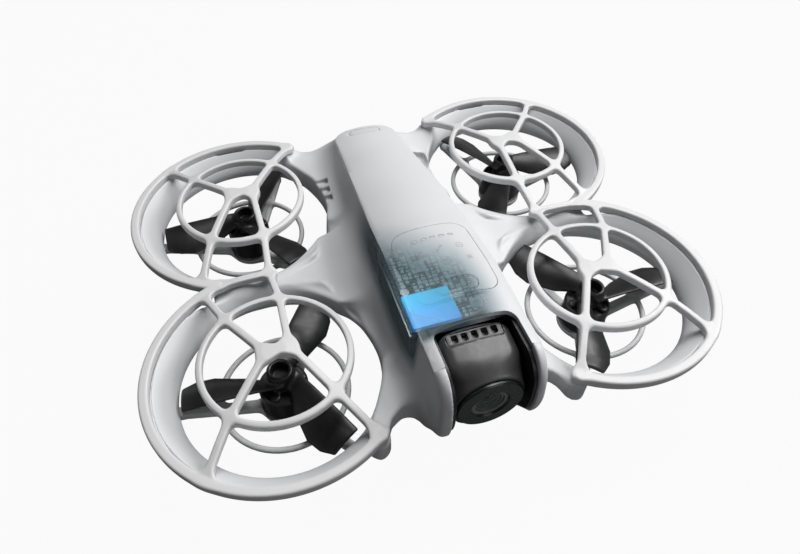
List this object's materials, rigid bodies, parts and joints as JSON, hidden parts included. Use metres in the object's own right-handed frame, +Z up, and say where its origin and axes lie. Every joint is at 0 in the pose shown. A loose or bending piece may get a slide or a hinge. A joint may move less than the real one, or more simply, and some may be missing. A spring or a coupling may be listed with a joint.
{
  "type": "mini palm drone",
  "caption": "Palm-sized camera drone with ducted propellers under open guards, a tilting camera in a forked nose and a slide-out battery.",
  "frame": {"origin": "on the surface that the drone rests on, under the middle of its bounding box", "axes": "+Z up, the camera looks along -Y, +X to the drone's left"},
  "size_m": [0.157, 0.1282, 0.0483],
  "materials": {
    "shell": "fine matte moulded texture",
    "cover": "fine matte moulded texture",
    "panel": "smooth matte",
    "buttons": "smooth matte",
    "guard": "fine matte moulded texture",
    "cage": "fine matte moulded texture",
    "propeller": "satin",
    "bell": "satin black",
    "stator": "lacquered windings on laminated steel",
    "liner": "matte black",
    "camera_body": "satin",
    "camera_trim": "satin",
    "lens_plate": "semi-gloss",
    "lens_barrel": "fine turned rings",
    "lens_glass": "coated glass",
    "steel": "machined",
    "board": "solder mask",
    "components": "mixed small parts",
    "frame_metal": "pressed sheet",
    "chip": "smooth",
    "lights": "diffuser",
    "belly": "fine matte moulded texture",
    "sensor": "gloss window",
    "battery": "fine matte moulded texture",
    "cells": "foil pouch",
    "latch": "ribbed matte",
    "contacts": "gold plated",
    "antenna": "copper film"
  },
  "bodies": {
    "airframe": {"airframe_shell": "shell", "duct_front_left": "shell", "duct_front_right": "shell", "duct_rear_left": "shell", "duct_rear_right": "shell", "top_cover": "cover", "control_panel": "panel", "camera_bay_liner": "liner", "guard_left": "guard", "guard_right": "guard", "guard_screws": "steel", "motor_cage_front_left": "cage", "motor_cage_front_right": "cage", "motor_cage_rear_left": "cage", "motor_cage_rear_right": "cage", "motor_stator_front_left": "stator", "motor_stator_front_right": "stator", "motor_stator_rear_left": "stator", "motor_stator_rear_right": "stator", "main_board": "board", "board_frame": "frame_metal", "storage_chip": "chip", "board_components": "components", "board_screws": "steel", "belly_cover": "belly", "belly_screws": "steel", "vision_camera": "sensor", "distance_sensor": "sensor", "usb_socket": "steel", "tilt_motor": "frame_metal", "status_lights": "lights", "speed_controller_board": "board", "antennas": "antenna", "battery_connector": "contacts", "button_switches": "components"},
    "rotor_front_left": {"motor_bell_front_left": "bell", "propeller_front_left": "propeller"},
    "rotor_front_right": {"motor_bell_front_right": "bell", "propeller_front_right": "propeller"},
    "rotor_rear_left": {"motor_bell_rear_left": "bell", "propeller_rear_left": "propeller"},
    "rotor_rear_right": {"motor_bell_rear_right": "bell", "propeller_rear_right": "propeller"},
    "camera": {"camera_housing": "camera_body", "camera_vent_panel": "camera_trim", "lens_plate": "lens_plate", "lens_barrel": "lens_barrel", "lens_glass": "lens_glass", "image_sensor_board": "board", "tilt_pins": "steel"},
    "mode_button": {"mode_button": "buttons"},
    "power_button": {"power_button": "buttons"},
    "battery": {"battery_case": "battery", "battery_cells": "cells", "battery_contacts": "contacts"},
    "latch_left": {"battery_latch_left": "latch"},
    "latch_right": {"battery_latch_right": "latch"}
  },
  "joints": [
    {"name": "spin_front_left", "type": "hinge", "parent": "airframe", "child": "rotor_front_left", "pos_m": [0.0448, -0.03044, 0], "axis": [0, 0, 1], "continuous": true},
    {"name": "spin_front_right", "type": "hinge", "parent": "airframe", "child": "rotor_front_right", "pos_m": [-0.0448, -0.03044, 0], "axis": [0, 0, 1], "continuous": true},
    {"name": "spin_rear_left", "type": "hinge", "parent": "airframe", "child": "rotor_rear_left", "pos_m": [0.0448, 0.03044, 0], "axis": [0, 0, 1], "continuous": true},
    {"name": "spin_rear_right", "type": "hinge", "parent": "airframe", "child": "rotor_rear_right", "pos_m": [-0.0448, 0.03044, 0], "axis": [0, 0, 1], "continuous": true},
    {"name": "camera_tilt", "type": "hinge", "parent": "airframe", "child": "camera", "pos_m": [0, -0.051, 0.0335], "axis": [1, 0, 0], "range_deg": [-60, 90]},
    {"name": "mode_button_press", "type": "slide", "parent": "airframe", "child": "mode_button", "axis": [0, 0, -1], "range_m": [0, 0.00035], "stiffness_N_per_m": 800},
    {"name": "power_button_press", "type": "slide", "parent": "airframe", "child": "power_button", "axis": [0, 0, -1], "range_m": [0, 0.00035], "stiffness_N_per_m": 800},
    {"name": "battery_slide", "type": "slide", "parent": "airframe", "child": "battery", "axis": [0, 1, 0], "range_m": [0, 0.062]},
    {"name": "latch_left_press", "type": "slide", "parent": "battery", "child": "latch_left", "axis": [-1, 0, 0], "range_m": [0, 0.0008], "stiffness_N_per_m": 600},
    {"name": "latch_right_press", "type": "slide", "parent": "battery", "child": "latch_right", "axis": [1, 0, 0], "range_m": [0, 0.0008], "stiffness_N_per_m": 600}
  ]
}
